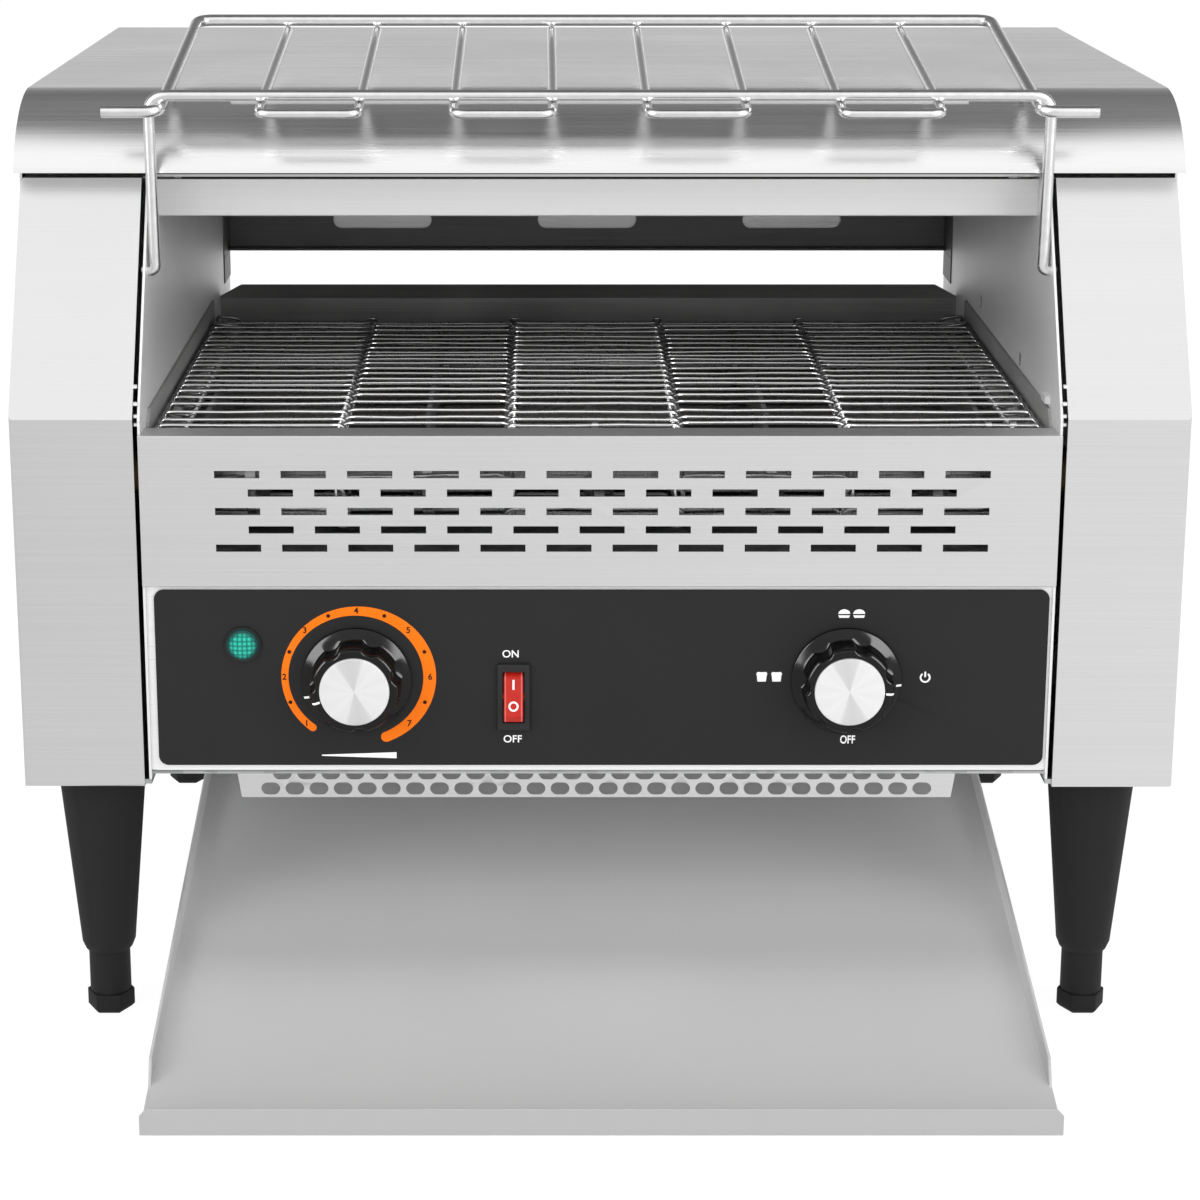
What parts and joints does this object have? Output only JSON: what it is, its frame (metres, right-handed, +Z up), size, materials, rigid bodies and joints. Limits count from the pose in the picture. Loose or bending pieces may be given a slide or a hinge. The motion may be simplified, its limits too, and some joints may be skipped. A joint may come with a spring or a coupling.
{
  "type": "conveyor toaster",
  "caption": "Counter-top conveyor toaster with a wire belt between side housings, a tilting wire loading rack on the hood, a sloped toast tray and a front control panel.",
  "frame": {"origin": "centre of the footprint, on the counter", "axes": "+X to the right seen from the front, +Y towards the back, +Z up"},
  "size_m": [0.47, 0.418, 0.4094],
  "materials": {
    "cover_steel": "horizontally brushed stainless steel",
    "hood_steel": "polished stainless steel, brushed along its width",
    "panel_steel": "brushed stainless steel",
    "inner_steel": "plain mill-finish stainless steel",
    "plated_sheet": "zinc-plated sheet",
    "dark_steel": "dark heat-stained sheet",
    "tray_steel": "satin stainless steel",
    "belt_wire": "bright stainless wire",
    "rack_wire": "bright drawn wire",
    "shaft_steel": "turned steel",
    "bronze": "sintered bronze",
    "heater_sheath": "heat-browned metal sheath",
    "ceramic": "unglazed ceramic",
    "fascia_black": "printed satin black overlay",
    "knob_black": "glossy black phenolic",
    "spun_aluminium": "spun aluminium",
    "switch_black": "black nylon",
    "rocker_red": "translucent red plastic",
    "lamp_green": "translucent green plastic",
    "switch_cream": "moulded thermoset",
    "motor_grey": "grey enamel",
    "fan_black": "black moulded plastic",
    "leg_black": "satin black",
    "screw_steel": "plated steel"
  },
  "bodies": {
    "cabinet": {"left_side_cover": "cover_steel", "right_side_cover": "cover_steel", "cheek_plates": "inner_steel", "base_plates": "plated_sheet", "top_hood": "hood_steel", "hood_front_rail": "panel_steel", "rear_upper_panel": "dark_steel", "rear_lower_panel": "panel_steel", "front_vent_panel": "panel_steel", "control_panel": "panel_steel", "control_fascia": "fascia_black", "control_box_floor": "plated_sheet", "heat_deck": "plated_sheet", "perforated_guard": "panel_steel", "rear_deflector": "dark_steel", "reflectors": "inner_steel", "heater_tubes": "heater_sheath", "heater_end_caps": "ceramic", "belt_upper_run": "belt_wire", "belt_lower_run": "belt_wire", "belt_turns": "belt_wire", "belt_support_rails": "dark_steel", "belt_edge_guards": "dark_steel", "shaft_bearings": "bronze", "drive_chain": "shaft_steel", "gear_motor": "motor_grey", "motor_bracket": "plated_sheet", "cooling_fan_frame": "fan_black", "tray_guides": "plated_sheet", "speed_control_pot": "switch_cream", "mode_switch_body": "switch_cream", "rocker_housing": "switch_black", "lamp_bezel": "switch_black", "lamp_lens": "lamp_green", "terminal_block": "switch_cream", "cable_gland": "switch_black", "leg_sleeves": "leg_black", "cover_screws": "screw_steel"},
    "loading_rack": {"rack_bail": "rack_wire", "rack_frame": "rack_wire", "rack_slats": "rack_wire"},
    "tray": {"toast_tray": "tray_steel"},
    "speed_knob_set": {"speed_knob": "knob_black", "speed_knob_cap": "spun_aluminium"},
    "mode_knob_set": {"mode_knob": "knob_black", "mode_knob_cap": "spun_aluminium"},
    "power_rocker": {"rocker_button": "rocker_red"},
    "idler": {"idler_shaft": "shaft_steel", "idler_sprockets": "shaft_steel"},
    "drive": {"drive_shaft": "shaft_steel", "drive_sprockets": "shaft_steel", "shaft_chain_sprocket": "shaft_steel"},
    "motor_rotor": {"motor_output_shaft": "shaft_steel", "motor_chain_sprocket": "shaft_steel"},
    "fan_rotor": {"cooling_fan_rotor": "fan_black"},
    "front_left_leg_foot": {"front_left_foot": "leg_black"},
    "front_right_leg_foot": {"front_right_foot": "leg_black"},
    "rear_left_leg_foot": {"rear_left_foot": "leg_black"},
    "rear_right_leg_foot": {"rear_right_foot": "leg_black"}
  },
  "joints": [
    {"name": "rack_tilt", "type": "hinge", "parent": "cabinet", "child": "loading_rack", "pos_m": [0, -0.085, 0.318], "axis": [1, 0, 0], "range_deg": [0, 132]},
    {"name": "tray_slide", "type": "slide", "parent": "cabinet", "child": "tray", "axis": [0, -1, 0], "range_m": [0, 0.2]},
    {"name": "speed_knob_turn", "type": "hinge", "parent": "cabinet", "child": "speed_knob_set", "pos_m": [-0.098, -0.123, 0.1565], "axis": [0, 1, 0], "range_deg": [-22.5, 247.5]},
    {"name": "mode_knob_turn", "type": "hinge", "parent": "cabinet", "child": "mode_knob_set", "pos_m": [0.1, -0.123, 0.1565], "axis": [0, 1, 0], "range_deg": [-270, 0]},
    {"name": "rocker_press", "type": "hinge", "parent": "cabinet", "child": "power_rocker", "pos_m": [-0.0345, -0.1215, 0.1495], "axis": [1, 0, 0], "range_deg": [0, 20]},
    {"name": "drive_shaft_spin", "type": "hinge", "parent": "cabinet", "child": "drive", "pos_m": [0, 0.111, 0.236], "axis": [-1, 0, 0], "continuous": true},
    {"name": "idler_shaft_spin", "type": "hinge", "parent": "cabinet", "child": "idler", "pos_m": [0, -0.095, 0.236], "axis": [-1, 0, 0], "continuous": true},
    {"name": "motor_output_spin", "type": "hinge", "parent": "cabinet", "child": "motor_rotor", "pos_m": [0, 0.111, 0.16], "axis": [-1, 0, 0], "continuous": true},
    {"name": "fan_spin", "type": "hinge", "parent": "cabinet", "child": "fan_rotor", "pos_m": [0, 0.127, 0.165], "axis": [1, 0, 0], "continuous": true},
    {"name": "front_left_foot_screw", "type": "slide", "parent": "cabinet", "child": "front_left_leg_foot", "axis": [0, 0, -1], "range_m": [0, 0.02]},
    {"name": "front_right_foot_screw", "type": "slide", "parent": "cabinet", "child": "front_right_leg_foot", "axis": [0, 0, -1], "range_m": [0, 0.02]},
    {"name": "rear_left_foot_screw", "type": "slide", "parent": "cabinet", "child": "rear_left_leg_foot", "axis": [0, 0, -1], "range_m": [0, 0.02]},
    {"name": "rear_right_foot_screw", "type": "slide", "parent": "cabinet", "child": "rear_right_leg_foot", "axis": [0, 0, -1], "range_m": [0, 0.02]}
  ],
  "couplings": [
    {"joint": "idler_shaft_spin", "follows": "drive_shaft_spin", "ratio": 1},
    {"joint": "motor_output_spin", "follows": "drive_shaft_spin", "ratio": 1.3333}
  ]
}
